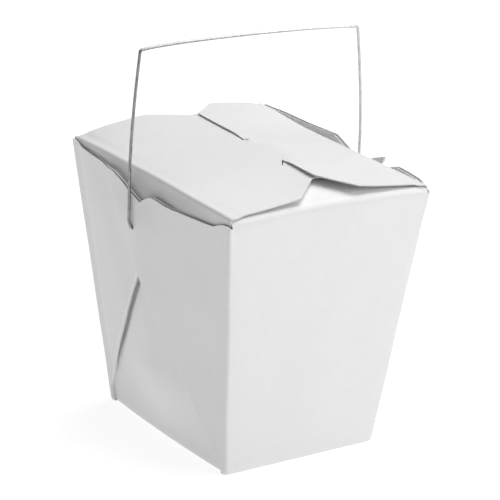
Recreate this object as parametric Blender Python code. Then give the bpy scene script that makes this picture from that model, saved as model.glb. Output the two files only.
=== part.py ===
"""A shut paperboard takeaway pail with a wire bail, standing on its base.

Metres, +Z up. X runs across the front face and along the bail's hinge axis, and the front face
looks towards -Y. The origin is the centre of the base. The pail is one folded blank, built as
one closed solid; the bail is one bent wire that swings in the two holes of the side webs.
"""
import math

import bmesh
import bpy
import numpy as np

MM = 0.001

# Body: a frustum with a rectangular base and rim.
BASE_X = 63.7 * MM
BASE_Y = 80.5 * MM
RIM_X = 84.7 * MM
RIM_Y = 107.9 * MM
RIM_Z = 101.6 * MM
FRONT_SCORE_RISE = 1.4 * MM
SIDE_SCORE_RISE = {-1: 2.6 * MM, 1: -0.5 * MM}
# The front score is a little low from corner to corner, and the far corner over +X is high.
FRONT_DROP = 1.2 * MM
FAR_CORNER_RISE = 1.7 * MM
# How far the top of each side panel, where a main flap is hinged, bows out at its middle.
HINGE_BOW = {-1: 1.2 * MM, 1: 0.0}

# Webs: the folded corner gussets that lie over the two handle sides and bulge outwards.
WEB_SLOPE = 0.152
WEB_RIDGE_SOFTNESS = 3.0 * MM
WEB_TUCK = 1.1 * MM
WEB_THICKNESS = 1.2 * MM
WEB_INSET = 0.3 * MM
WEB_APEX_Z = 65.5 * MM
WEB_DIP_WIDTH = 10.0 * MM
NOTCH_BOTTOM_Z = 94.3 * MM
NOTCH_POWER = 0.75
NOTCH_Y = {-1: -4.5 * MM, 1: -2.0 * MM}
# How far each web's top edge dips below the rim, how far it recovers beside the notch, and how
# wide its half of the notch is. The keys are the handle side and the near or far half.
WEB_DIP = {(-1, -1): 4.2 * MM, (-1, 1): 1.2 * MM, (1, -1): 0.0, (1, 1): 0.0}
WEB_RISE = {(-1, -1): 0.8 * MM, (-1, 1): 0.0, (1, -1): 0.0, (1, 1): 0.0}
NOTCH_WIDTH = {(-1, -1): 6.0 * MM, (-1, 1): 20.0 * MM, (1, -1): 17.0 * MM, (1, 1): 14.0 * MM}

# Side panels: each is pressed out against the web that lies on top of it (the near one on the
# -X side, the far one on the +X side). The depths are below the webs' outer face, on that web's
# half and on the other one.
PANEL_DEPTHS = (1.0 * MM, 2.4 * MM)
PANEL_DEEPER_ABOVE = 1.7 * MM
PANEL_SINK = 0.5 * MM
PANEL_BACKING = 4.0 * MM

# Flaps: A is hinged on the -X side, B on the +X side, and B lies over A along the seam.
RIDGE_Z = 107.0 * MM
FLAP_THICKNESS = 1.0 * MM
FLAP_STEP = 0.7 * MM
FLAP_SIDE_INSET = 1.4 * MM
SEAM_X = 2.1 * MM
SEAM_SKEW = 0.049
SEAM_HALF = 41.0 * MM
# How far along X each free corner is cut. The keys are the flap and its near or far corner.
CORNER_CUT_X = {(-1, -1): 12.0 * MM, (-1, 1): 17.0 * MM, (1, -1): 12.0 * MM, (1, 1): 12.0 * MM}
LAP_UNDER = 4.0 * MM
TAB_FROM_Y = -20.0 * MM
TAB_TO_Y = 7.0 * MM
TAB_DIP = 1.2 * MM
TAB_SHOULDER = 2.0 * MM
B_NEAR_LIFT = 0.7 * MM
SEAM_STIFFNESS = 5
# How far each flap swells above (or sags below) a straight run, at its near and far edges.
FLAP_SWELL = {-1: (-0.5, 1.1), 1: (-0.2, 1.1)}
FILL_HALF_Y = 36.0 * MM
FILL_BOTTOM_Z = 98.0 * MM
HINGE_EMBED = 0.4 * MM
DUST_DROP = 0.3 * MM
DUST_EDGE = 3.0 * MM
DUST_SLOPE = 0.2
DUST_EMBED = 0.6 * MM

# Bail: one round wire, bowed outwards, whose ends turn in through the web holes.
WIRE_RADIUS = 0.55 * MM
HOLE_Z = 84.0 * MM
HOLE_RADIUS = 0.85 * MM
HOLE_CUT_LENGTH = 8 * MM
BAIL_END_X = 45.2 * MM
BAIL_TURN_X = 48.9 * MM
BAIL_FOOT_X = 49.7 * MM
BAIL_FOOT_Z = 86.8 * MM
BAIL_WAIST_Z = 104.0 * MM
BAIL_TOP_X = 46.3 * MM
BAIL_TOP_Z = 147.2 * MM
BAR_BOW = 1.9 * MM
BAR_TILT = 1.2 * MM
BOW_POWER = 1.6
END_RADIUS = 0.9 * MM
CORNER_RADIUS = 1.8 * MM

# Mesh density.
CORE_STEPS = 24
WEB_COLUMNS = 40
WEB_ROWS = 10
PANEL_COLUMNS = 24
PANEL_ROWS = 18
FLAP_ROWS = 14
FLAP_COLUMNS = 40
HOLE_SIDES = 20
BEND_STEPS = 5
LEG_STEPS = 6
BAR_STEPS = 5


def half_x(z):
    """Half of the body's width across X at height z."""
    return BASE_X / 2 + (RIM_X - BASE_X) / 2 * z / RIM_Z


def half_y(z):
    """Half of the body's depth along Y at height z."""
    return BASE_Y / 2 + (RIM_Y - BASE_Y) / 2 * z / RIM_Z


def smooth_abs(value, softness):
    """|value| with a rounded tip."""
    return math.hypot(value, softness)


def smooth_step(low, high, value):
    """0 at low to 1 at high, level at both; low may be the larger."""
    t = min(max((value - low) / (high - low), 0.0), 1.0)
    return t * t * (3 - 2 * t)


def corner_rise(side, y):
    """How much higher than the rim a side's top is at y: the far corner over +X stands up."""
    return FAR_CORNER_RISE * smooth_step(20 * MM, 54 * MM, y) if side > 0 else 0.0


def side_score_z(side, y):
    """Height of the arched score at the top of a side panel, where a main flap is hinged."""
    return RIM_Z + SIDE_SCORE_RISE[side] * (1 - (2 * y / RIM_Y) ** 2) + corner_rise(side, y)


def hinge_bow(side, y):
    """How far that score bows out at y."""
    return HINGE_BOW[side] * max(1 - (2 * y / RIM_Y) ** 2, 0.0)


def make_object(name, mesh_data, material):
    """Link a bmesh as an object with its material."""
    mesh = bpy.data.meshes.new(name)
    mesh_data.normal_update()
    mesh_data.to_mesh(mesh)
    mesh_data.free()
    obj = bpy.data.objects.new(name, mesh)
    bpy.context.scene.collection.objects.link(obj)
    if material is not None:
        mesh.materials.append(material)
    return obj


def slab(name, upper, lower, material=None):
    """A closed solid between two point grids of the same shape, with walls round the rim."""
    rows, columns = upper.shape[:2]
    bm = bmesh.new()
    top = [[bm.verts.new(upper[i, j]) for j in range(columns)] for i in range(rows)]
    bottom = [[bm.verts.new(lower[i, j]) for j in range(columns)] for i in range(rows)]
    for i in range(rows - 1):
        for j in range(columns - 1):
            bm.faces.new((top[i][j], top[i + 1][j], top[i + 1][j + 1], top[i][j + 1]))
            bm.faces.new((bottom[i][j], bottom[i][j + 1], bottom[i + 1][j + 1], bottom[i + 1][j]))
    rim = [(i, 0) for i in range(rows)]
    rim += [(rows - 1, j) for j in range(1, columns)]
    rim += [(i, columns - 1) for i in range(rows - 2, -1, -1)]
    rim += [(0, j) for j in range(columns - 2, 0, -1)]
    for (i, j), (k, m) in zip(rim, rim[1:] + rim[:1]):
        bm.faces.new((top[k][m], top[i][j], bottom[i][j], bottom[k][m]))
    bmesh.ops.triangulate(bm, faces=bm.faces[:])
    bmesh.ops.recalc_face_normals(bm, faces=bm.faces[:])
    return make_object(name, bm, material)


def paperboard():
    material = bpy.data.materials.new("white_paperboard")
    material.use_nodes = True
    shader = material.node_tree.nodes["Principled BSDF"]
    shader.inputs["Base Color"].default_value = (0.86, 0.86, 0.86, 1)
    shader.inputs["Roughness"].default_value = 0.55
    shader.inputs["Metallic"].default_value = 0.0
    return material


def steel_wire():
    material = bpy.data.materials.new("galvanised_wire")
    material.use_nodes = True
    shader = material.node_tree.nodes["Principled BSDF"]
    shader.inputs["Base Color"].default_value = (0.56, 0.57, 0.58, 1)
    shader.inputs["Roughness"].default_value = 0.32
    shader.inputs["Metallic"].default_value = 1.0
    return material


def web_outer_x(y, z):
    """Distance of the webs' outer face from the middle plane.

    It is a soft ridge along y = 0 that leans back in at its top, behind the wire.
    """
    edge = smooth_abs(half_y(z), WEB_RIDGE_SOFTNESS)
    tuck = WEB_TUCK * smooth_step(84 * MM, 100 * MM, z) * smooth_step(25 * MM, 5 * MM, abs(y))
    return half_x(z) + WEB_SLOPE * (edge - smooth_abs(y, WEB_RIDGE_SOFTNESS)) - tuck


def side_panel(side):
    """The swelling of a side panel, seen in the open V below the webs."""
    shares = np.linspace(-0.9, 0.9, PANEL_COLUMNS + 1)
    heights = np.linspace(2 * MM, 100 * MM, PANEL_ROWS + 1)
    outer = np.zeros((len(shares), len(heights), 3))
    inner = np.zeros_like(outer)
    shallow, deep = PANEL_DEPTHS
    for i, share in enumerate(shares):
        for j, z in enumerate(heights):
            y = share * half_y(z)
            depth = shallow + (deep - shallow) * smooth_step(-16 * MM, 14 * MM, -side * y)
            depth += PANEL_DEEPER_ABOVE * smooth_step(55 * MM, 75 * MM, z)
            bulge = web_outer_x(y, z) - half_x(z) - depth
            swollen = smooth_step(2 * MM, 22 * MM, z) * (1 - smooth_step(88 * MM, 102 * MM, z))
            x = half_x(z) - PANEL_SINK + (bulge + PANEL_SINK) * swollen
            outer[i, j] = side * x, y, z
            inner[i, j] = side * (half_x(z) - PANEL_BACKING), y, z
    return slab("side_panel", outer, inner)


def web_low_z(share):
    """Where the web's diagonal fold crosses the line at this share of the side's half depth."""
    lean = (RIM_Y - BASE_Y) / 2 / RIM_Z
    fold = BASE_Y / 2 / WEB_APEX_Z
    return BASE_Y / 2 * (1 - abs(share)) / (fold + lean * abs(share))


def web_top_z(side, y):
    """The webs' top edge: it dips from the rim corners, then falls into the V notch."""
    along = abs(y - NOTCH_Y[side])
    web = (side, -1 if y < NOTCH_Y[side] else 1)
    notch = NOTCH_WIDTH[web]
    z = RIM_Z + corner_rise(side, y)
    z -= WEB_DIP[web] * smooth_step(0, WEB_DIP_WIDTH, RIM_Y / 2 - abs(y))
    z += WEB_RISE[web] * smooth_step(3 * notch, notch, along)
    if along < notch:
        z = NOTCH_BOTTOM_Z + (z - NOTCH_BOTTOM_Z) * (along / notch) ** NOTCH_POWER
    return z


def webs(side):
    """The two overlapping webs of one handle side: a bulged sheet above the inverted V."""
    shares = np.linspace(-1, 1, WEB_COLUMNS + 1)
    outer = np.zeros((len(shares), WEB_ROWS + 1, 3))
    inner = np.zeros_like(outer)
    for i, share in enumerate(shares):
        low = web_low_z(share) + WEB_INSET
        high = web_top_z(side, share * RIM_Y / 2) - WEB_INSET
        for j in range(WEB_ROWS + 1):
            z = low + (high - low) * j / WEB_ROWS
            y = share * (half_y(z) - WEB_INSET)
            x = web_outer_x(y, z)
            outer[i, j] = side * x, y, z
            inner[i, j] = side * (x - WEB_THICKNESS), y, z
    return slab("webs", outer, inner)


def seam_x(y):
    """Plan position of flap B's free edge."""
    return SEAM_X + SEAM_SKEW * y


def flap_half_depth(side, v, distance):
    """Half depth of a flap's near (v < 0) or far half at this distance from the seam."""
    straight = RIM_Y / 2 - FLAP_SIDE_INSET
    cut = CORNER_CUT_X[side, -1 if v < 0 else 1]
    return SEAM_HALF + (straight - SEAM_HALF) * min(max(distance / cut, 0.0), 1.0)


def seam_offset(y):
    """How far flap B's free edge stands off flap A: over it, but under it along the tab."""
    in_tab = smooth_step(TAB_FROM_Y - TAB_SHOULDER, TAB_FROM_Y, y)
    in_tab *= 1 - smooth_step(TAB_TO_Y, TAB_TO_Y + TAB_SHOULDER, y)
    return (FLAP_STEP + TAB_DIP) * (1 - in_tab) - TAB_DIP


def flap_top_z(side, share, y):
    """Height of a flap's top, from 0 at its hinge to 1 at the seam."""
    near, far = FLAP_SWELL[side]
    v = 2 * y / RIM_Y
    swell = near + (far - near) * (v + 1) / 2
    ramp = share + swell * share * (1 - share)
    hinge = side_score_z(side, y)
    ridge = RIDGE_Z
    if side > 0:
        ridge += B_NEAR_LIFT * max(-v, 0.0) ** 3
        ridge += seam_offset(y) * share ** SEAM_STIFFNESS
    return hinge + (ridge - hinge) * ramp


def flap(side):
    """A main flap: a bowed sheet whose middle is backed down to the dust flaps."""
    lap = LAP_UNDER if side < 0 else 0.0
    vs = np.linspace(-1, 1, FLAP_COLUMNS + 1)
    shares = np.linspace(0, 1, FLAP_ROWS + 1)
    upper = np.zeros((len(shares), len(vs), 3))
    lower = np.zeros_like(upper)
    for i, share in enumerate(shares):
        for j, v in enumerate(vs):
            seam = seam_x(v * SEAM_HALF)
            hinge_x = side * (RIM_X / 2 + hinge_bow(side, v * RIM_Y / 2) - HINGE_EMBED)
            x = hinge_x + (seam - side * lap - hinge_x) * share
            y = v * flap_half_depth(side, v, (x - seam) * side)
            z = flap_top_z(side, share, y)
            backed = abs(y) < FILL_HALF_Y or share == 0
            upper[i, j] = x, y, z
            lower[i, j] = x, y, FILL_BOTTOM_Z if backed else z - FLAP_THICKNESS
    return slab("flap", upper, lower)


def flap_over(x, y):
    """Height of the top of whichever main flap lies over this point of the plan."""
    side = -1 if x < seam_x(y) else 1
    hinge_x = side * (RIM_X / 2 + hinge_bow(side, y) - HINGE_EMBED)
    share = (hinge_x - x) / (hinge_x - seam_x(y))
    return flap_top_z(side, min(max(share, 0.0), 1.0), y)


def core():
    """The frustum up to its arched scores, closed by dust flaps that slope up to the main flaps."""
    steps = np.linspace(-1, 1, CORE_STEPS + 1)
    upper = np.zeros((len(steps), len(steps), 3))
    lower = np.zeros_like(upper)
    for i, u in enumerate(steps):
        for j, v in enumerate(steps):
            side = -1 if u < 0 else 1
            rim = RIM_Z + FRONT_SCORE_RISE * (1 - u * u) * v * v
            rim += (side_score_z(side, v * RIM_Y / 2) - RIM_Z) * u * u
            if v < 0:
                rim -= FRONT_DROP * v ** 8
            x, y = u * (half_x(rim) + hinge_bow(side, v * RIM_Y / 2)), v * half_y(rim)
            inward_x, inward_y = (1 - abs(u)) * RIM_X / 2, (1 - abs(v)) * RIM_Y / 2
            z = rim + DUST_SLOPE * inward_y
            z -= DUST_DROP * smooth_step(0, DUST_EDGE, min(inward_x, inward_y))
            if inward_x and inward_y:
                z = min(z, flap_over(x, y) - DUST_EMBED)
            else:
                z = rim
            upper[i, j] = x, y, z
            lower[i, j] = u * BASE_X / 2, v * BASE_Y / 2, 0
    return slab("carton", upper, lower, paperboard())


def wire_hole():
    """A cutter along the hinge axis, through both pairs of webs."""
    bm = bmesh.new()
    bmesh.ops.create_cone(bm, cap_ends=True, segments=HOLE_SIDES, radius1=HOLE_RADIUS,
                          radius2=HOLE_RADIUS, depth=HOLE_CUT_LENGTH)
    obj = make_object("hole_cutter", bm, None)
    obj.rotation_euler.y = math.pi / 2
    return obj


def combine(target, tool, operation):
    """Apply an exact Boolean and drop the tool."""
    modifier = target.modifiers.new(operation, "BOOLEAN")
    modifier.operation = operation
    modifier.solver = "EXACT"
    modifier.object = tool
    bpy.context.view_layer.update()
    evaluated = target.evaluated_get(bpy.context.evaluated_depsgraph_get())
    mesh = bpy.data.meshes.new_from_object(evaluated)
    target.modifiers.remove(modifier)
    target.data = mesh
    bpy.data.objects.remove(tool)


def carton():
    body = core()
    for side in (-1, 1):
        combine(body, side_panel(side), "UNION")
        combine(body, webs(side), "UNION")
        combine(body, flap(side), "UNION")
        cutter = wire_hole()
        cutter.location = (side * BAIL_TURN_X, 0, HOLE_Z)
        combine(body, cutter, "DIFFERENCE")
    return body


def rounded(bends):
    """A path through (x, z, bend radius) corners, each with a radius replaced by its arc."""
    places = [np.array((x, 0.0, z)) for x, z, _ in bends]
    path = [places[0]]
    for before, corner, after, bend in zip(places, places[1:], places[2:], bends[1:]):
        radius = bend[2]
        if not radius:
            path.append(corner)
            continue
        into = (corner - before) / np.linalg.norm(corner - before)
        out = (after - corner) / np.linalg.norm(after - corner)
        turn = math.acos(float(np.dot(into, out)))
        normal = out - into * np.dot(into, out)
        normal /= np.linalg.norm(normal)
        centre = corner - into * radius * math.tan(turn / 2) + normal * radius
        for angle in np.linspace(0, turn, BEND_STEPS + 1):
            path.append(centre + radius * (into * math.sin(angle) - normal * math.cos(angle)))
    path.append(places[-1])
    return path


def tilted(x, z, side):
    """A point of the wire, with the bar's end on the -X side a little higher."""
    rise = max(z - BAIL_WAIST_Z, 0.0) / (BAIL_TOP_Z - BAIL_WAIST_Z)
    return side * x, z - side * BAR_TILT * rise * x / BAIL_TOP_X


def bail_half(side):
    """Half of the wire's centre line, from its inner end to the middle of the bar."""
    bends = [(side * BAIL_END_X, HOLE_Z, 0), (side * BAIL_TURN_X, HOLE_Z, END_RADIUS)]
    bends += [(side * BAIL_FOOT_X, BAIL_FOOT_Z, END_RADIUS)]
    for share in np.linspace(0, 1, LEG_STEPS + 1):
        z = BAIL_WAIST_Z + (BAIL_TOP_Z - BAIL_WAIST_Z) * share
        x = BAIL_FOOT_X - (BAIL_FOOT_X - BAIL_TOP_X) * share ** BOW_POWER
        bends.append((*tilted(x, z, side), CORNER_RADIUS if share == 1 else 0))
    for angle in np.linspace(0, math.pi / 2, BAR_STEPS + 1)[1:]:
        x = BAIL_TOP_X * math.cos(angle)
        bends.append((*tilted(x, BAIL_TOP_Z + BAR_BOW * math.sin(angle), side), 0))
    return bends


def bail():
    """The wire as a tube swept along its centre line, with closed ends."""
    path = rounded(bail_half(-1) + bail_half(1)[-2::-1])
    curve = bpy.data.curves.new("wire_bail", "CURVE")
    curve.dimensions = "3D"
    curve.bevel_depth = WIRE_RADIUS
    curve.bevel_resolution = 2
    curve.use_fill_caps = True
    spline = curve.splines.new("POLY")
    spline.points.add(len(path) - 1)
    for point, place in zip(spline.points, path):
        point.co = (place[0], place[1], place[2] - HOLE_Z, 1)
    curve.materials.append(steel_wire())
    obj = bpy.data.objects.new("wire_bail", curve)
    obj.location = (0, 0, HOLE_Z)
    bpy.context.scene.collection.objects.link(obj)
    return obj


def main():
    for obj in list(bpy.data.objects):
        bpy.data.objects.remove(obj)
    carton()
    bail()


main()
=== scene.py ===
"""The takeaway pail dressed for its portrait: folded sheets of white board and a bent steel wire.

Lengths are in millimetres until a mesh is made. X runs across the front, which looks to -Y,
and +Z is up, as in the CAD frame.
"""

import math

import bmesh
import bpy
import numpy as np
from mathutils import Matrix, Vector


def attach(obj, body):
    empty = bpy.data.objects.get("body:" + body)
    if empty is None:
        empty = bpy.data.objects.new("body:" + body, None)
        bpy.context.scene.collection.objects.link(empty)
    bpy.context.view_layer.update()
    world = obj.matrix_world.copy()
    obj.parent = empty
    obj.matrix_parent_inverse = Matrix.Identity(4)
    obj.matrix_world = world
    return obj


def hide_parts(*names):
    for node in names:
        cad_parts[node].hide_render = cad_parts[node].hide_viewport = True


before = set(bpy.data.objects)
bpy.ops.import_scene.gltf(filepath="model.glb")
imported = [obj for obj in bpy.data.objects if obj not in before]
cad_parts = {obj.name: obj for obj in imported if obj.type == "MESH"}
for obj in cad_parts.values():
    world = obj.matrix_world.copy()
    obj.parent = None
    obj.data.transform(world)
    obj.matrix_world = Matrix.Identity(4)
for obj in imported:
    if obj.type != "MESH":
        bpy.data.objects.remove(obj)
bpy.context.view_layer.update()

MM = 0.001

# The body, as in the CAD.
BASE_X, BASE_Y = 63.7, 80.5
RIM_X, RIM_Y, RIM_Z = 84.7, 107.9, 101.6
FRONT_SCORE_RISE = 1.4
SIDE_SCORE_RISE = {-1: 2.6, 1: -0.5}
FRONT_DROP = 1.2
FAR_CORNER_RISE = 1.7
HINGE_BOW = {-1: 1.2, 1: 0.0}
WEB_SLOPE, WEB_RIDGE_SOFTNESS, WEB_TUCK = 0.152, 3.0, 1.1
WEB_APEX_Z = 65.5
WEB_DIP_WIDTH = 10.0
NOTCH_BOTTOM_Z, NOTCH_POWER, NOTCH_Y = 94.3, 0.75, {-1: -4.5, 1: -2.0}
WEB_DIP = {(-1, -1): 4.2, (-1, 1): 1.2, (1, -1): 0.0, (1, 1): 0.0}
WEB_RISE = {(-1, -1): 0.8, (-1, 1): 0.0, (1, -1): 0.0, (1, 1): 0.0}
NOTCH_WIDTH = {(-1, -1): 6.0, (-1, 1): 20.0, (1, -1): 17.0, (1, 1): 14.0}
RIDGE_Z = 107.0
FLAP_STEP = 0.7
FLAP_SIDE_INSET = 1.4
SEAM_X, SEAM_SKEW, SEAM_HALF = 2.1, 0.049, 41.0
CORNER_CUT_X = {(-1, -1): 12.0, (-1, 1): 17.0, (1, -1): 12.0, (1, 1): 12.0}
TAB_FROM_Y, TAB_TO_Y = -20.0, 7.0
B_NEAR_LIFT = 0.7
FLAP_SWELL = {-1: (-0.5, 1.1), 1: (-0.2, 1.1)}
HINGE_INSET = 0.4
HOLE_Z = 84.0
HOLE_RADIUS = 0.8

# The board and how it is folded.
PLY = 0.45
PLY_GAP = 0.04
FOLD_RADIUS = PLY + PLY_GAP / 2
LAYER = 2 * PLY + 2 * PLY_GAP
CREASE = 1.1
BASE_RADIUS = 0.9
SCORE_RADIUS = {-1: 2.0, 1: 0.9}
SCORE_TURN = math.pi / 2 - 0.2
NEAR_CORNER_DROP = 2.1
DUST_SLOPE = 0.2
HINGE_RADIUS = 0.8
LEAST_WEB = 2.2
SIDE_TUCK = 1.15
PANEL_BEHIND = 0.2
SLIT, TAB_RUN, LIP = 3.0, 13.0, 1.4
WEB_DENT = 0.4
PANEL_INSET = 0.65
RIPPLE = 0.16


def half_x(z):
    return BASE_X / 2 + (RIM_X - BASE_X) / 2 * z / RIM_Z


def half_y(z):
    return BASE_Y / 2 + (RIM_Y - BASE_Y) / 2 * z / RIM_Z


def smooth_step(low, high, value):
    """0 at low to 1 at high, level at both; low may be the larger."""
    t = np.clip((value - low) / (high - low), 0.0, 1.0)
    return t * t * (3 - 2 * t)


def smooth_min(a, b, softness):
    """The smaller of two heights, with the corner between them rounded."""
    return (a + b - np.hypot(a - b, softness)) / 2


def corner_rise(side, y):
    """How much higher than the rim a side's top is at y: the far corner over +X stands up."""
    return FAR_CORNER_RISE * smooth_step(20, 54, y) if side > 0 else 0.0


def side_score_z(side, y):
    return RIM_Z + SIDE_SCORE_RISE[side] * (1 - (2 * y / RIM_Y) ** 2) + corner_rise(side, y)


def hinge_bow(side, y):
    """How far a side's top score bows out at y."""
    return HINGE_BOW[side] * max(1 - (2 * y / RIM_Y) ** 2, 0.0)


def web_outer_x(y, z):
    """Distance of the webs' outer face from the middle plane, with a shallow dent by each corner."""
    edge = np.hypot(half_y(z), WEB_RIDGE_SOFTNESS)
    dent = WEB_DENT * math.exp(-((half_y(z) - abs(y) - 5.5) / 3.0) ** 2) * smooth_step(0, 20, z)
    dent += WEB_TUCK * smooth_step(84, 100, z) * smooth_step(25, 5, abs(y))
    return half_x(z) + WEB_SLOPE * (edge - np.hypot(y, WEB_RIDGE_SOFTNESS)) - dent


def fold_y(z):
    """Where the near web's free fold crosses height z: from the base corner, past the apex."""
    return -BASE_Y / 2 + BASE_Y / 2 * z / WEB_APEX_Z


def web_shy(half, z):
    """How far short of its crease line a web's free fold stops."""
    if half < 0:
        return 0.6 * math.exp(-((z - 62.0) / 16.0) ** 2)
    return 2.4 + 1.8 * math.exp(-((z - 24.0) / 13.0) ** 2) - 0.6 * smooth_step(8, 0, z)


def under_layer(toward, z):
    """How far the web that lies beneath the other is set back, this far toward its own corner."""
    return LAYER * smooth_step(26, 0, toward - fold_y(z))


def side_panel_x(side, y, z):
    """A side panel: pressed out against the web that lies on top, and tucked in at its edges."""
    toward = y if side < 0 else -y
    depth = LAYER + PANEL_BEHIND + under_layer(toward, z) * smooth_step(-8, 0, toward + fold_y(z))
    from_fold = toward + fold_y(z) - web_shy(-side, z) - 0.8
    groove = 0.3 * smooth_step(-4, 10, toward) + 2.5 * math.exp(-(from_fold / 2.6) ** 2)
    depth += groove * smooth_step(76, 66, z)
    tuck = -SIDE_TUCK * (y / half_y(z)) ** 2
    follow = web_outer_x(y, z) - half_x(z) - depth
    bulge = -smooth_min(-tuck, -follow, 0.5)
    top = tuck + hinge_bow(side, y) * smooth_step(60, 101, z)
    if side < 0:
        leans_from = 96.5 - 3.0 * math.exp(-((y - NOTCH_Y[side]) / 11.0) ** 2)
        share = smooth_step(side_score_z(side, y), leans_from, z)
    else:
        share = smooth_step(101.5, 88, z)
    return half_x(z) + top + (bulge - top) * smooth_step(1, 30, z) * share


def web_top_z(side, y):
    """The webs' top edge: it dips from the rim corners, then falls into the V notch."""
    along = abs(y - NOTCH_Y[side])
    web = (side, -1 if y < NOTCH_Y[side] else 1)
    notch = NOTCH_WIDTH[web]
    from_corner = RIM_Y / 2 - abs(y)
    z = RIM_Z + corner_rise(side, y) - WEB_DIP[web] * smooth_step(0, WEB_DIP_WIDTH, from_corner)
    z += WEB_RISE[web] * smooth_step(3 * notch, notch, along)
    if y < 0:
        z -= NEAR_CORNER_DROP * (1 - smooth_step(0, 7, from_corner))
    if along < notch:
        z = NOTCH_BOTTOM_Z + (z - NOTCH_BOTTOM_Z) * (along / notch) ** NOTCH_POWER
    return z


def seam_x(y):
    return SEAM_X + SEAM_SKEW * y


def flap_half_depth(side, half, distance):
    """Half depth of a flap's near (half -1) or far half at this distance from the seam."""
    straight = RIM_Y / 2 - FLAP_SIDE_INSET
    share = np.clip(distance / CORNER_CUT_X[side, half], 0.0, 1.0)
    return SEAM_HALF + (straight - SEAM_HALF) * share


def flap_run(side, share, y, ridge):
    """A flap's height on its way from its hinge to a ridge height."""
    near, far = FLAP_SWELL[side]
    v = 2 * y / RIM_Y
    swell = near + (far - near) * (v + 1) / 2
    ramp = share + swell * share * (1 - share)
    hinge = side_score_z(side, y)
    return hinge + (ridge - hinge) * ramp


def flap_a_z(x, y):
    """Flap A's top, without what flap B does to it."""
    start = -(RIM_X / 2 + hinge_bow(-1, y) - HINGE_INSET)
    share = (x - start) / (seam_x(y) + 4.0 - start)
    return flap_run(-1, share, y, RIDGE_Z)


def tab_band(y, reach):
    """1 across the tab's width, falling to 0 this far outside it."""
    return (smooth_step(TAB_FROM_Y - reach, TAB_FROM_Y - 0.5, y)
            * smooth_step(TAB_TO_Y + reach, TAB_TO_Y + 0.5, y))


def flap_b_z(x, y):
    """The top of flap B: lifted at the near corner, and lying over flap A beside its tab."""
    start = RIM_X / 2 - HINGE_INSET
    share = max((start - x) / (start - seam_x(y)), 0.0)
    lift = B_NEAR_LIFT * max(-2 * y / RIM_Y, 0.0) ** 3
    step = FLAP_STEP * share ** 8 * (1 - 0.7 * tab_band(y, 7.0))
    return flap_run(1, share, y, RIDGE_Z + lift + step)


def tab_z(x, y):
    """The top of flap B between its slits, on its way down to slip beneath flap A's lip."""
    beyond = x - seam_x(y)
    level, sunk = flap_b_z(x, y), flap_a_z(x, y) - PLY - 0.12
    inside = smooth_step(0, 5, min(y - TAB_FROM_Y, TAB_TO_Y - y))
    free = inside + (1 - inside) * smooth_step(SLIT, LIP + 0.3, beyond)
    return level + (sunk - level) * smooth_step(TAB_RUN, LIP + 0.3, beyond) * free


def under_flaps_z(x, y):
    """The underside of the main flaps, where a dust flap comes to rest."""
    over_a, over_b = min(x, seam_x(y) + 2.0), max(x, seam_x(y))
    return smooth_min(flap_a_z(over_a, y), flap_b_z(over_b, y) - PLY - 0.1, 0.3) - PLY - 0.12


def ripple(points):
    """Bend space a little, so that every layer of board shares the same gentle unevenness."""
    x, y, z = points[..., 0].copy(), points[..., 1].copy(), points[..., 2].copy()
    rise = smooth_step(0, 25, z)
    side = np.clip(x / 30, -1, 1)
    end = np.clip(y / 38, -1, 1)
    top = smooth_step(100, 104, z)
    wave_x = np.sin(y / 11.3 + z / 17.1 + 0.7) * np.sin(z / 13.7 - y / 29 + 1.9)
    wave_y = np.sin(x / 10.1 - z / 15.9 + 2.1) * np.sin(z / 19.3 + x / 23 + 0.4)
    wave_z = np.sin(x / 9.3 + y / 14.9) * np.sin(y / 12.1 - x / 21 + 1.1)
    moved = points.copy()
    moved[..., 0] += RIPPLE * rise * side * wave_x
    moved[..., 1] += RIPPLE * rise * end * wave_y
    moved[..., 2] += RIPPLE * 0.8 * top * wave_z
    return moved


def grid_normals(points, keep):
    """Unit normals of a grid of points, from the quads that are kept."""
    a, b = points[:-1, :-1], points[1:, :-1]
    c, d = points[1:, 1:], points[:-1, 1:]
    faces = np.cross(c - a, d - b)
    faces[~keep] = 0
    normals = np.zeros_like(points)
    for rows, columns in ((slice(0, -1), slice(0, -1)), (slice(1, None), slice(0, -1)),
                          (slice(1, None), slice(1, None)), (slice(0, -1), slice(1, None))):
        normals[rows, columns] += faces
    lengths = np.linalg.norm(normals, axis=2, keepdims=True)
    return normals / np.maximum(lengths, 1e-12)


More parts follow.
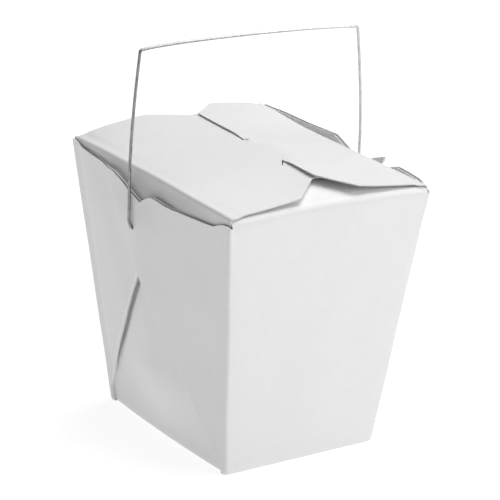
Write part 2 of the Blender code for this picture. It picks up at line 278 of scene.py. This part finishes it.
def board(name, outer, keep, creased, flipped=False):
    """A closed sheet of board one ply thick behind a grid of points on its outer face.

    creased is how near each point is to a fold, from 0 to 1, which the material reads.
    """
    outer = ripple(outer)
    normals = grid_normals(outer, keep) * (-1 if flipped else 1)
    inner = outer - PLY * normals
    rows, columns = outer.shape[:2]
    bm = bmesh.new()
    layer = bm.verts.layers.float.new("crease")
    used = {}

    def vert(side, i, j):
        key = (side, i, j)
        if key not in used:
            used[key] = bm.verts.new((inner if side else outer)[i, j] * MM)
            used[key][layer] = creased[i, j]
        return used[key]

    for i in range(rows - 1):
        for j in range(columns - 1):
            if not keep[i, j]:
                continue
            ring = [(i, j), (i + 1, j), (i + 1, j + 1), (i, j + 1)]
            if flipped:
                ring.reverse()
            bm.faces.new([vert(0, *p) for p in ring]).smooth = True
            bm.faces.new([vert(1, *p) for p in reversed(ring)]).smooth = True
            for p, q in zip(ring, ring[1:] + ring[:1]):
                low_i, low_j = min(p[0], q[0]), min(p[1], q[1])
                if p[0] == q[0]:
                    beyond = (i - 1 if low_i == i else i + 1, j)
                else:
                    beyond = (i, j - 1 if low_j == j and p[1] == j else j + 1)
                inside = 0 <= beyond[0] < rows - 1 and 0 <= beyond[1] < columns - 1
                if inside and keep[beyond]:
                    continue
                wall = bm.faces.new((vert(0, *q), vert(0, *p), vert(1, *p), vert(1, *q)))
                wall.material_index = 1
    for edge in bm.edges:
        if len({face.material_index for face in edge.link_faces}) > 1:
            edge.smooth = False
    mesh = bpy.data.meshes.new(name)
    bm.to_mesh(mesh)
    bm.free()
    obj = bpy.data.objects.new(name, mesh)
    bpy.context.scene.collection.objects.link(obj)
    for material in (BOARD, CUT_EDGE):
        mesh.materials.append(material)
    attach(obj, "carton")
    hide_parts("carton")
    return obj


def node(tree, kind, links=None, **values):
    """Add a node: values set its sockets or properties, links feed its inputs."""
    made = tree.nodes.new(kind)
    for name, value in values.items():
        if hasattr(made, name):
            setattr(made, name, value)
        else:
            made.inputs[name.replace("_", " ")].default_value = value
    for name, source in (links or {}).items():
        tree.links.new(source, made.inputs[name])
    return made


def noise(tree, coords, scale, detail=2.0, roughness=0.5):
    made = node(tree, "ShaderNodeTexNoise", {"Vector": coords})
    made.inputs["Scale"].default_value = scale
    made.inputs["Detail"].default_value = detail
    made.inputs["Roughness"].default_value = roughness
    return made.outputs["Fac"]


def span(tree, source, low, high, to_low, to_high):
    """Map a value's range low..high to another one, clamped."""
    made = tree.nodes.new("ShaderNodeMapRange")
    tree.links.new(source, made.inputs["Value"])
    for name, value in (("From Min", low), ("From Max", high), ("To Min", to_low), ("To Max", to_high)):
        made.inputs[name].default_value = value
    return made.outputs["Result"]


def math_node(tree, operation, a, b):
    made = tree.nodes.new("ShaderNodeMath")
    made.operation = operation
    for socket, value in zip(made.inputs, (a, b)):
        if isinstance(value, (int, float)):
            socket.default_value = value
        else:
            tree.links.new(value, socket)
    return made.outputs["Value"]


def stretched(tree, coords, scale):
    made = tree.nodes.new("ShaderNodeMapping")
    made.inputs["Scale"].default_value = scale
    tree.links.new(coords, made.inputs["Vector"])
    return made.outputs["Vector"]


def tinted(tree, factor, dark, light):
    made = tree.nodes.new("ShaderNodeValToRGB")
    made.color_ramp.elements[0].color = (*dark, 1)
    made.color_ramp.elements[1].color = (*light, 1)
    tree.links.new(factor, made.inputs["Fac"])
    return made.outputs["Color"]


def bumped(tree, height, distance, strength, before=None):
    made = tree.nodes.new("ShaderNodeBump")
    made.inputs["Distance"].default_value = distance
    made.inputs["Strength"].default_value = strength
    tree.links.new(height, made.inputs["Height"])
    if before is not None:
        tree.links.new(before, made.inputs["Normal"])
    return made.outputs["Normal"]


def new_material(name):
    material = bpy.data.materials.new(name)
    material.use_nodes = True
    tree = material.node_tree
    return material, tree, tree.nodes["Principled BSDF"]


def coated_board():
    """Clay-coated white board: a satin film over short fibres, scuffed a little at its folds."""
    material, tree, shader = new_material("coated_board")
    coords = tree.nodes.new("ShaderNodeTexCoord").outputs["Object"]
    crease = tree.nodes.new("ShaderNodeAttribute")
    crease.attribute_name = "crease"
    crease = crease.outputs["Fac"]
    fibres = noise(tree, stretched(tree, coords, (900, 900, 2600)), 1.0, 4.0, 0.6)
    tooth = noise(tree, coords, 3200, 3.0, 0.6)
    cloud = noise(tree, coords, 60, 3.0, 0.55)
    mottle = noise(tree, coords, 420, 3.0, 0.6)
    scuff = noise(tree, coords, 1300, 4.0, 0.7)
    worn = math_node(tree, "MULTIPLY", crease, span(tree, scuff, 0.42, 0.62, 0.0, 1.0))
    shade = math_node(tree, "ADD", math_node(tree, "MULTIPLY", cloud, 0.5),
                      math_node(tree, "MULTIPLY", mottle, 0.5))
    shade = math_node(tree, "SUBTRACT", shade, math_node(tree, "MULTIPLY", worn, 0.35))
    tree.links.new(tinted(tree, span(tree, shade, 0.25, 0.7, 0.0, 1.0),
                          (0.79, 0.79, 0.787), (0.83, 0.83, 0.83)), shader.inputs["Base Color"])
    rough = math_node(tree, "ADD", span(tree, mottle, 0.3, 0.7, 0.40, 0.52),
                      math_node(tree, "MULTIPLY", worn, 0.2))
    tree.links.new(rough, shader.inputs["Roughness"])
    normal = bumped(tree, cloud, 0.0006, 0.10)
    normal = bumped(tree, mottle, 0.0001, 0.16, normal)
    normal = bumped(tree, fibres, 0.00003, 0.3, normal)
    normal = bumped(tree, tooth, 0.00002, 0.3, normal)
    normal = bumped(tree, worn, 0.00006, 0.5, normal)
    tree.links.new(normal, shader.inputs["Normal"])
    shader.inputs["Specular IOR Level"].default_value = 0.42
    shader.inputs["Coat Weight"].default_value = 0.12
    shader.inputs["Coat Roughness"].default_value = 0.32
    return material


def cut_edge():
    """The raw die-cut edge, where the fibres show between the coatings; its grey is partly the bare fibre's own
    colour and partly painted shade.
    """
    material, tree, shader = new_material("board_cut_edge")
    coords = tree.nodes.new("ShaderNodeTexCoord").outputs["Object"]
    fibres = noise(tree, coords, 2400, 5.0, 0.7)
    flecks = noise(tree, coords, 700, 3.0, 0.6)
    # Partly painted shade: the grey is set darker than the bare fibre alone, so the lit edges read as dark
    # lines.
    tree.links.new(tinted(tree, span(tree, fibres, 0.3, 0.7, 0.0, 1.0),
                          (0.60, 0.595, 0.585), (0.72, 0.715, 0.705)), shader.inputs["Base Color"])
    tree.links.new(span(tree, flecks, 0.3, 0.7, 0.75, 0.92), shader.inputs["Roughness"])
    tree.links.new(bumped(tree, fibres, 0.00008, 0.6), shader.inputs["Normal"])
    shader.inputs["Specular IOR Level"].default_value = 0.25
    return material


def galvanised():
    """Drawn wire: fine streaks along its length under a dull zinc bloom, with painted shade on the leg at -X and
    a painted highlight on the leg at +X.
    """
    material, tree, shader = new_material("galvanised_wire")
    coords = tree.nodes.new("ShaderNodeTexCoord").outputs["Object"]
    streaks = noise(tree, stretched(tree, coords, (4200, 4200, 160)), 1.0, 4.0, 0.6)
    bloom = noise(tree, coords, 520, 4.0, 0.65)
    shade = math_node(tree, "ADD", math_node(tree, "MULTIPLY", streaks, 0.5),
                      math_node(tree, "MULTIPLY", bloom, 0.5))
    # Painted shade and painted highlight: the colour runs darker towards -X and lighter towards +X, so the leg
    # on -X is painted in shade and the leg on +X is painted lit.
    place = tree.nodes.new("ShaderNodeSeparateXYZ")
    tree.links.new(coords, place.inputs["Vector"])
    painted_side_light = span(tree, place.outputs["X"], -0.05, 0.05, -0.35, 0.75)
    shade = math_node(tree, "ADD", span(tree, shade, 0.35, 0.65, 0.0, 1.0), painted_side_light)
    tree.links.new(tinted(tree, span(tree, shade, -0.35, 1.75, 0.0, 1.0),
                          (0.13, 0.135, 0.14), (0.72, 0.725, 0.73)), shader.inputs["Base Color"])
    tree.links.new(span(tree, bloom, 0.3, 0.7, 0.24, 0.42), shader.inputs["Roughness"])
    normal = bumped(tree, streaks, 0.00003, 0.5)
    tree.links.new(bumped(tree, bloom, 0.00002, 0.3, normal), shader.inputs["Normal"])
    shader.inputs["Metallic"].default_value = 1.0
    return material


BOARD, CUT_EDGE, WIRE = coated_board(), cut_edge(), galvanised()

# Grid densities of the folded sheets.
WALL_ROWS = 58
WEB_COLUMNS = 48
FOLD_STEPS = 6
CREASE_STEPS = 6
PANEL_COLUMNS = 44
SCORE_STEPS = 8
DUST_INWARD = (0.7, 1.5, 2.4, 3.4, 4.6, 6.0, 7.6, 9.4, 11.5, 14.0, 17.0, 20.5, 24.0, 28.0)


def wall_rows():
    """Heights and insets of a wall's rows: a rounded fold at the base, then straight up."""
    rows = []
    for turn in np.linspace(0, math.pi / 2, 5)[:-1]:
        rows.append((BASE_RADIUS * (1 - math.cos(turn)), BASE_RADIUS * (1 - math.sin(turn))))
    return rows + [(z, 0.0) for z in np.linspace(BASE_RADIUS, RIM_Z, WALL_ROWS)]


def web_section(width):
    """A web's folded section as (distance from the corner, depth), from its crease round its free fold."""
    reach = width - FOLD_RADIUS
    out = [(CREASE + (reach - CREASE) * k / WEB_COLUMNS, 0.0) for k in range(WEB_COLUMNS + 1)]
    turn = [(reach + FOLD_RADIUS * math.sin(a), FOLD_RADIUS * (1 - math.cos(a)))
            for a in np.linspace(0, math.pi, 2 * FOLD_STEPS + 1)[1:-1]]
    back = [(d if k else max(d, CREASE + 0.3), 2 * FOLD_RADIUS) for k, (d, _) in enumerate(out)][::-1]
    return out + turn + back


def wrap_row(z_ref, inset, half):
    """One level of the front (half -1) or back wrap, seen as if it were the front."""
    rise = smooth_step(0.8 * RIM_Z, RIM_Z, z_ref)
    corner_y = -half_y(z_ref) + inset
    width = max(fold_y(z_ref) + half_y(z_ref) - web_shy(half, z_ref), LEAST_WEB)
    sides = {}
    for side in (-1, 1):
        points = []
        for distance, depth in web_section(width):
            y = corner_y + distance
            z = z_ref + (web_top_z(-half * side, -half * y) - RIM_Z) * rise
            if depth > FOLD_RADIUS:
                z -= 0.06 * rise
            under = 0.0
            if side > 0:
                # This web lies beneath the one from the other panel, and eases out beyond it.
                z -= 2.5 * rise * smooth_step(30, 20, abs(-half * y - NOTCH_Y[-half]))
                under = under_layer(-y, z_ref)
            x = web_outer_x(y, z) - inset - depth - under
            points.append((side * x, y, z))
        sides[side] = points
    panel = []
    for k in range(PANEL_COLUMNS + 1):
        reach = half_x(z_ref) - inset - CREASE
        x = reach * (2 * k / PANEL_COLUMNS - 1)
        arch = FRONT_SCORE_RISE * (1 - (x / half_x(z_ref)) ** 2)
        if half < 0:
            arch -= FRONT_DROP - 0.3
        else:
            arch += FAR_CORNER_RISE * smooth_step(0.3, 1.0, -x / half_x(z_ref))
        z = z_ref + (arch - SCORE_RADIUS[half]) * rise
        panel.append((x, -half_y(z) + inset, z))
    row = sides[-1][::-1]
    for side in (-1, 1):
        start = np.array(sides[side][0])
        end = np.array(panel[0] if side < 0 else panel[-1])
        corner = np.array((side * (half_x(z_ref) - inset), corner_y, (start[2] + end[2]) / 2))
        turn = []
        for k in range(1, CREASE_STEPS):
            t = k / CREASE_STEPS
            turn.append((1 - t) ** 2 * start + 2 * t * (1 - t) * corner + t * t * end)
        if side < 0:
            row += turn + panel
        else:
            row += turn[::-1] + sides[1]
    return row


def wrap(half):
    """The front or back panel, folded round into its two webs and over into its dust flap."""
    rows = [wrap_row(z, inset, half) for z, inset in wall_rows()]
    columns = len(rows[0])
    web_part = (columns - PANEL_COLUMNS - 1) // 2
    first, last = web_part, web_part + PANEL_COLUMNS
    walls = len(rows)
    top = np.array(rows[-1])
    radius = SCORE_RADIUS[half]
    for turn in np.linspace(0, SCORE_TURN, SCORE_STEPS + 1)[1:]:
        row = top.copy()
        row[:, 1] += radius * (1 - math.cos(turn))
        row[:, 2] += radius * math.sin(turn)
        rows.append(row)
    rolled = rows[-1]
    for inward in DUST_INWARD:
        row = rolled.copy()
        row[:, 0] *= 1 - 0.035 * smooth_step(0, 3, inward) - 0.004 * inward
        row[:, 1] += inward
        row[:, 2] += DUST_SLOPE * inward
        for point in row:
            limit = under_flaps_z(-half * point[0], -half * point[1])
            point[2] = smooth_min(point[2], limit, 0.4)
        rows.append(row)
    points = np.array([np.array(row) for row in rows])
    points[..., 0] *= -half
    points[..., 1] *= -half
    keep = np.ones((len(rows) - 1, columns - 1), bool)
    keep[walls - 1:, :first] = False
    keep[walls - 1:, last:] = False
    creased = np.zeros(points.shape[:2])
    columns_at = np.arange(columns)
    middle = (columns - 1) / 2
    from_corner = np.abs(np.abs(columns_at - middle) - (PANEL_COLUMNS / 2 + CREASE_STEPS / 2))
    creased[:walls] = np.clip(1 - from_corner / (CREASE_STEPS / 2 + 0.5), 0, 1)[None]
    fold_at = web_part - CREASE_STEPS - WEB_COLUMNS - FOLD_STEPS
    from_fold = np.minimum(np.abs(columns_at - fold_at), np.abs(columns_at - (columns - 1 - fold_at)))
    creased[:walls] = np.maximum(creased[:walls], np.clip(1 - from_fold / (FOLD_STEPS + 1), 0, 1)[None])
    creased[:4] = 0.8
    creased[walls - 1:walls + SCORE_STEPS, first:last + 1] = 0.9
    return board("front_wrap" if half < 0 else "back_wrap", points, keep, creased, flipped=False)


def flap_lines():
    """Lines across a main flap: its near shoulder, its tab, its far shoulder, and the two cuts."""
    lines = [("near", k / 30) for k in range(31)]
    lines += [("tab", k / 27) for k in range(28)]
    lines += [("far", k / 40) for k in range(41)]
    return lines


CUT = 0.03


def line_y(line, depth):
    zone, share = line
    if zone == "near":
        return -depth + (TAB_FROM_Y - CUT + depth) * share
    if zone == "tab":
        return TAB_FROM_Y + CUT + (TAB_TO_Y - TAB_FROM_Y - 2 * CUT) * share
    return TAB_TO_Y + CUT + (depth - TAB_TO_Y - CUT) * share


def side_sheet(side):
    """A side panel with its main flap: up from the base, over the hinge and in to the seam."""
    lines = flap_lines()
    path_rows = []
    creased = []

    def wall_point(z_ref, inset, line):
        depth = half_y(z_ref) - PANEL_INSET
        y = line_y(line, depth)
        z = z_ref + (side_score_z(side, y) - HINGE_RADIUS - RIM_Z) * smooth_step(0.8 * RIM_Z, RIM_Z, z_ref)
        return side_panel_x(side, y, z) - inset, y, z

    for index, (z_ref, inset) in enumerate(wall_rows()):
        path_rows.append([wall_point(z_ref, inset, line) for line in lines])
        creased.append(0.8 if index < 4 else 0.0)
    top = path_rows[-1]
    for turn in np.linspace(0, math.pi / 2, 7)[1:]:
        path_rows.append([(x - HINGE_RADIUS * (1 - math.cos(turn)), y, z + HINGE_RADIUS * math.sin(turn))
                          for x, y, z in top])
        creased.append(0.7)
    over = path_rows[-1]

    shared, own = 40, 14
    for k in range(1, shared + own + 1):
        row = []
        for (x0, y0, z0), line in zip(over, lines):
            zone = line[0]
            half = 1 if zone == "far" else -1
            y = line_y(line, RIM_Y / 2 - FLAP_SIDE_INSET)
            for _ in range(4):
                seam = side * seam_x(y)
                if side > 0:
                    split = seam + SLIT
                    end = seam - 8.0 if zone == "tab" else seam
                else:
                    split = seam + 0.5
                    end = seam - LIP - 3.6 * (1 - tab_band(y, 5.0))
                if k <= shared:
                    x = x0 + (split - x0) * k / shared
                else:
                    x = split + (end - split) * (k - shared) / own
                depth = flap_half_depth(side, half, x - seam)
                y = line_y(line, depth)
            settle = smooth_step(0, 5, x0 - x)
            y = y0 + (y - y0) * settle
            if side < 0:
                z = flap_a_z(-x, y)
                if seam - x > -6:
                    clear = smooth_min(z, flap_b_z(-x, y) - PLY - 0.1, 0.15)
                    z += (clear - z) * (1 - smooth_step(0, 2, min(y - TAB_FROM_Y, TAB_TO_Y - y)))
            else:
                z = tab_z(x, y) if zone == "tab" else flap_b_z(x, y)
            row.append((x, y, z0 + (z - z0) * settle))
        path_rows.append(row)
        creased.append(0.0)

    points = np.array(path_rows)
    points[..., 0] *= side
    keep = np.ones((len(path_rows) - 1, len(lines) - 1), bool)
    if side > 0:
        cut_from = len(path_rows) - 1 - own
        for j in range(len(lines) - 1):
            if lines[j][0] != lines[j + 1][0]:
                keep[cut_from:, j] = False
    creased = np.repeat(np.array(creased)[:, None], len(lines), axis=1)
    name = "left_side_and_flap" if side < 0 else "right_side_and_flap"
    return board(name, points, keep, creased, flipped=side < 0)


def base_sheet():
    """The bottom panel, up to the folds of the walls."""
    steps = 16
    points = np.zeros((steps + 1, steps + 1, 3))
    creased = np.zeros(points.shape[:2])
    for i, u in enumerate(np.linspace(-1, 1, steps + 1)):
        for j, v in enumerate(np.linspace(-1, 1, steps + 1)):
            y = v * (BASE_Y / 2 - BASE_RADIUS)
            reach = BASE_X / 2 - BASE_RADIUS - SIDE_TUCK * (y / (BASE_Y / 2)) ** 2
            dent = 0.35 * (1 - u * u) * (1 - v * v)
            points[i, j] = u * reach, y, dent
            creased[i, j] = 0.6 if max(abs(u), abs(v)) > 0.95 else 0.0
    keep = np.ones((steps, steps), bool)
    return board("base_panel", points, keep, creased, flipped=True)


def cut(target, cutter):
    """Take a cutter's volume out of a sheet, and drop the cutter."""
    modifier = target.modifiers.new("cut", "BOOLEAN")
    modifier.operation = "DIFFERENCE"
    modifier.solver = "EXACT"
    modifier.object = cutter
    bpy.context.view_layer.update()
    evaluated = target.evaluated_get(bpy.context.evaluated_depsgraph_get())
    mesh = bpy.data.meshes.new_from_object(evaluated)
    target.modifiers.remove(modifier)
    target.data = mesh
    bpy.data.objects.remove(cutter)


def pin(place, radius, length, axis):
    """A round cutter."""
    bm = bmesh.new()
    bmesh.ops.create_cone(bm, cap_ends=True, segments=28, radius1=radius * MM, radius2=radius * MM,
                          depth=length * MM)
    mesh = bpy.data.meshes.new("pin")
    bm.to_mesh(mesh)
    bm.free()
    obj = bpy.data.objects.new("pin", mesh)
    obj.location = Vector(place) * MM
    obj.rotation_euler = (0, math.pi / 2, 0) if axis == "x" else (0, 0, 0)
    bpy.context.scene.collection.objects.link(obj)
    return obj


def slot_cutter(start, end, width, low, high):
    """A thin upright blade between two plan points."""
    start, end = Vector((*start, 0)), Vector((*end, 0))
    along = (end - start).normalized()
    across = Vector((-along.y, along.x, 0)) * width / 2
    corners = [start - across, end - across * 0.4, end + across * 0.4, start + across]
    bm = bmesh.new()
    rings = [[bm.verts.new(Vector((c.x, c.y, z)) * MM) for c in corners] for z in (low, high)]
    bm.faces.new(rings[0][::-1])
    bm.faces.new(rings[1])
    for k in range(4):
        bm.faces.new((rings[0][k], rings[0][(k + 1) % 4], rings[1][(k + 1) % 4], rings[1][k]))
    mesh = bpy.data.meshes.new("blade")
    bm.to_mesh(mesh)
    bm.free()
    obj = bpy.data.objects.new("blade", mesh)
    bpy.context.scene.collection.objects.link(obj)
    return obj


front, back = wrap(-1), wrap(1)
for sheet in (front, back):
    for side in (-1, 1):
        cut(sheet, pin((side * 48.0, 0, HOLE_Z), HOLE_RADIUS, 12, "x"))
left, right = side_sheet(-1), side_sheet(1)
seam_end = (seam_x(TAB_FROM_Y) + 0.4, TAB_FROM_Y)
cut(left, slot_cutter(seam_end, (seam_end[0] - 2.9, seam_end[1] - 4.4), 0.5, 100, 112))
base_sheet()


# The wire, along the CAD's own centre line.
WIRE_RADIUS = 0.55
BAIL_END_X, BAIL_TURN_X = 45.2, 48.9
BAIL_FOOT_X, BAIL_FOOT_Z = 49.7, 86.8
BAIL_WAIST_Z, BAIL_TOP_X, BAIL_TOP_Z = 104.0, 46.3, 147.2
BAR_BOW, BAR_TILT, BOW_POWER = 1.9, 1.2, 1.6
END_RADIUS, CORNER_RADIUS = 0.9, 1.8
BEND_STEPS, LEG_STEPS, BAR_STEPS, WIRE_SIDES = 12, 24, 40, 24


def rounded(bends):
    """A path through (x, z, bend radius) corners, each with a radius replaced by its arc."""
    places = [np.array((x, 0.0, z)) for x, z, _ in bends]
    path = [places[0]]
    for before, corner, after, bend in zip(places, places[1:], places[2:], bends[1:]):
        radius = bend[2]
        if not radius:
            path.append(corner)
            continue
        into = (corner - before) / np.linalg.norm(corner - before)
        out = (after - corner) / np.linalg.norm(after - corner)
        turn = math.acos(float(np.dot(into, out)))
        normal = out - into * np.dot(into, out)
        normal /= np.linalg.norm(normal)
        centre = corner - into * radius * math.tan(turn / 2) + normal * radius
        for angle in np.linspace(0, turn, BEND_STEPS + 1):
            path.append(centre + radius * (into * math.sin(angle) - normal * math.cos(angle)))
    path.append(places[-1])
    return path


def tilted(x, z, side):
    """A point of the wire, with the bar's end on the -X side a little higher."""
    rise = max(z - BAIL_WAIST_Z, 0.0) / (BAIL_TOP_Z - BAIL_WAIST_Z)
    return side * x, z - side * BAR_TILT * rise * x / BAIL_TOP_X


def bail_half(side):
    bends = [(side * BAIL_END_X, HOLE_Z, 0), (side * BAIL_TURN_X, HOLE_Z, END_RADIUS)]
    bends += [(side * BAIL_FOOT_X, BAIL_FOOT_Z, END_RADIUS)]
    for share in np.linspace(0, 1, LEG_STEPS + 1):
        if 0.96 > share > 0.9:
            continue
        z = BAIL_WAIST_Z + (BAIL_TOP_Z - BAIL_WAIST_Z) * share
        x = BAIL_FOOT_X - (BAIL_FOOT_X - BAIL_TOP_X) * share ** BOW_POWER
        bends.append((*tilted(x, z, side), CORNER_RADIUS if share == 1 else 0))
    for angle in np.linspace(0, math.pi / 2, BAR_STEPS + 1)[2:]:
        x = BAIL_TOP_X * math.cos(angle)
        bends.append((*tilted(x, BAIL_TOP_Z + BAR_BOW * math.sin(angle), side), 0))
    return bends


def wire_tube():
    """The wire as a swept tube, capped flat at both ends."""
    path = np.array(rounded(bail_half(-1) + bail_half(1)[-2::-1]))
    tangents = np.gradient(path, axis=0)
    tangents /= np.linalg.norm(tangents, axis=1, keepdims=True)
    across = np.array((0.0, 1.0, 0.0))
    bm = bmesh.new()
    rings = []
    radii = np.full(len(path), WIRE_RADIUS)
    for centre, along, radius in zip(path, tangents, radii):
        up = np.cross(along, across)
        ring = []
        for k in range(WIRE_SIDES):
            angle = 2 * math.pi * k / WIRE_SIDES
            ring.append(bm.verts.new((centre + radius * (across * math.cos(angle) + up * math.sin(angle))) * MM))
        rings.append(ring)
    for ring, following in zip(rings, rings[1:]):
        for k in range(WIRE_SIDES):
            m = (k + 1) % WIRE_SIDES
            bm.faces.new((ring[k], ring[m], following[m], following[k])).smooth = True
    bm.faces.new(rings[0])
    bm.faces.new(rings[-1][::-1])
    bmesh.ops.recalc_face_normals(bm, faces=bm.faces[:])
    mesh = bpy.data.meshes.new("bent_wire")
    bm.to_mesh(mesh)
    bm.free()
    obj = bpy.data.objects.new("bent_wire", mesh)
    bpy.context.scene.collection.objects.link(obj)
    mesh.materials.append(WIRE)
    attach(obj, "bail")
    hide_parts("wire_bail")
    return obj


wire_tube()


# The studio.
def studio_floor():
    bm = bmesh.new()
    bmesh.ops.create_grid(bm, x_segments=8, y_segments=8, size=6.0)
    mesh = bpy.data.meshes.new("floor")
    bm.to_mesh(mesh)
    bm.free()
    obj = bpy.data.objects.new("floor", mesh)
    bpy.context.scene.collection.objects.link(obj)
    material, tree, shader = new_material("floor_paper")
    shader.inputs["Base Color"].default_value = (0.3, 0.3, 0.3, 1)
    shader.inputs["Roughness"].default_value = 0.9
    shader.inputs["Specular IOR Level"].default_value = 0.1
    shader.inputs["Emission Color"].default_value = (1, 1, 1, 1)
    shader.inputs["Emission Strength"].default_value = 0.85
    mesh.materials.append(material)


def soft_light(name, place, target, size, power):
    light = bpy.data.lights.new(name, "AREA")
    light.shape = "RECTANGLE"
    light.size, light.size_y = size
    light.energy = power
    obj = bpy.data.objects.new(name, light)
    obj.location = place
    obj.rotation_euler = (Vector(target) - Vector(place)).to_track_quat("-Z", "Y").to_euler()
    bpy.context.scene.collection.objects.link(obj)
    return obj


studio_floor()
soft_light("key_softbox", (0.36, -0.56, 0.44), (0, 0, 0.07), (0.42, 0.34), 2.25)
soft_light("top_softbox", (0.5, 0.1, 1.42), (0, 0, 0.08), (1.2, 1.2), 20.5)
world = bpy.data.worlds.new("studio")
world.use_nodes = True
world.node_tree.nodes["Background"].inputs["Color"].default_value = (1, 1, 1, 1)
world.node_tree.nodes["Background"].inputs["Strength"].default_value = 0.14
bpy.context.scene.world = world
bpy.context.scene.view_settings.view_transform = "Standard"


def photo_camera():
    """The camera of the photograph, found by matching the pail's corners in it."""
    body = RIM_Z * MM
    yaw, pitch, roll = 0.5881827, 0.3434615, 0.0343325
    distance, shift_x, shift_z, focal = 9.4381455, 0.0241048, 0.1530006, 2600
    forward = Vector((math.sin(yaw) * math.cos(pitch), math.cos(yaw) * math.cos(pitch), -math.sin(pitch)))
    right = Vector((math.cos(yaw), -math.sin(yaw), 0))
    up = right.cross(forward)
    right, up = (math.cos(roll) * right + math.sin(roll) * up,
                 -math.sin(roll) * right + math.cos(roll) * up)
    place = (Vector((0, 0, 0.5)) - forward * distance + right * shift_x + up * shift_z) * body
    data = bpy.data.cameras.new("camera")
    data.sensor_width = 36
    data.lens = focal * 36 / 500
    data.clip_start, data.clip_end = 0.01, 50
    camera = bpy.data.objects.new("camera", data)
    matrix = Matrix((right, up, -forward)).transposed().to_4x4()
    matrix.translation = place
    camera.matrix_world = matrix
    bpy.context.scene.collection.objects.link(camera)
    bpy.context.scene.camera = camera


photo_camera()
